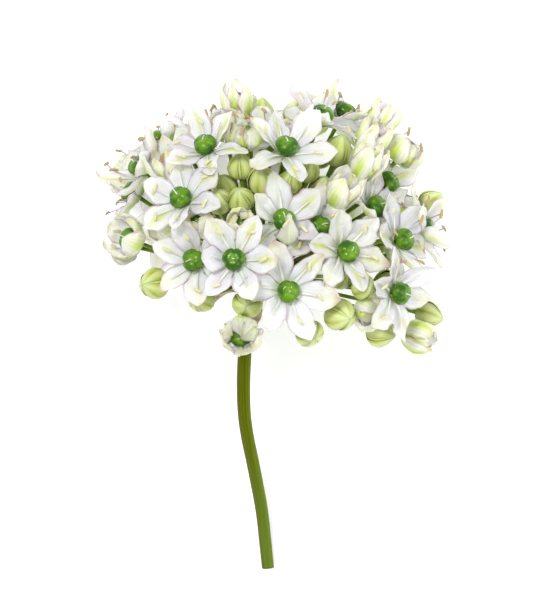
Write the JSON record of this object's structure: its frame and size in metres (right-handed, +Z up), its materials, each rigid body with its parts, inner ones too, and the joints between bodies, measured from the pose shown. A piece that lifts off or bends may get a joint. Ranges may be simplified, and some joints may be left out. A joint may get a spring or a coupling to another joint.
{
  "type": "cut allium flower",
  "caption": "Cut flower lying on its side: a domed umbel of white star flowers and green buds at the end of a short, curved, leafless green stem.",
  "frame": {"origin": "on the table, at the middle of the flower's footprint", "axes": "+Z up from the table, +Y from the cut end of the stem towards the head, +X to the right of the picture, which is the view looking down"},
  "size_m": [0.082, 0.1151, 0.0839],
  "materials": {
    "petal": "matt white, tinted yellow-green along the midrib",
    "green": "satin green, glossy on the ovaries",
    "stem": "satin olive green",
    "bract": "dry, papery, pale tan"
  },
  "bodies": {
    "root": {"umbel": "green", "scape": "stem", "spathe": "bract", "perianth_01": "petal", "perianth_02": "petal", "perianth_03": "petal", "perianth_04": "petal", "perianth_05": "petal", "perianth_06": "petal", "perianth_07": "petal", "perianth_08": "petal", "perianth_09": "petal", "perianth_10": "petal", "perianth_11": "petal", "perianth_12": "petal", "perianth_13": "petal", "perianth_14": "petal", "perianth_15": "petal", "perianth_16": "petal", "perianth_17": "petal", "perianth_18": "petal", "perianth_19": "petal", "perianth_20": "petal", "perianth_21": "petal", "perianth_22": "petal", "perianth_23": "petal", "perianth_24": "petal", "perianth_25": "petal", "perianth_26": "petal", "perianth_27": "petal", "perianth_28": "petal", "perianth_29": "petal", "perianth_30": "petal", "perianth_31": "petal", "perianth_32": "petal", "perianth_33": "petal", "perianth_34": "petal", "perianth_35": "petal", "perianth_36": "petal", "perianth_37": "petal", "perianth_38": "petal", "perianth_39": "petal", "perianth_40": "petal", "perianth_41": "petal", "perianth_42": "petal", "perianth_43": "petal", "perianth_44": "petal", "perianth_45": "petal", "perianth_46": "petal", "perianth_47": "petal", "perianth_48": "petal", "perianth_49": "petal", "perianth_50": "petal", "perianth_51": "petal"}
  },
  "joints": []
}
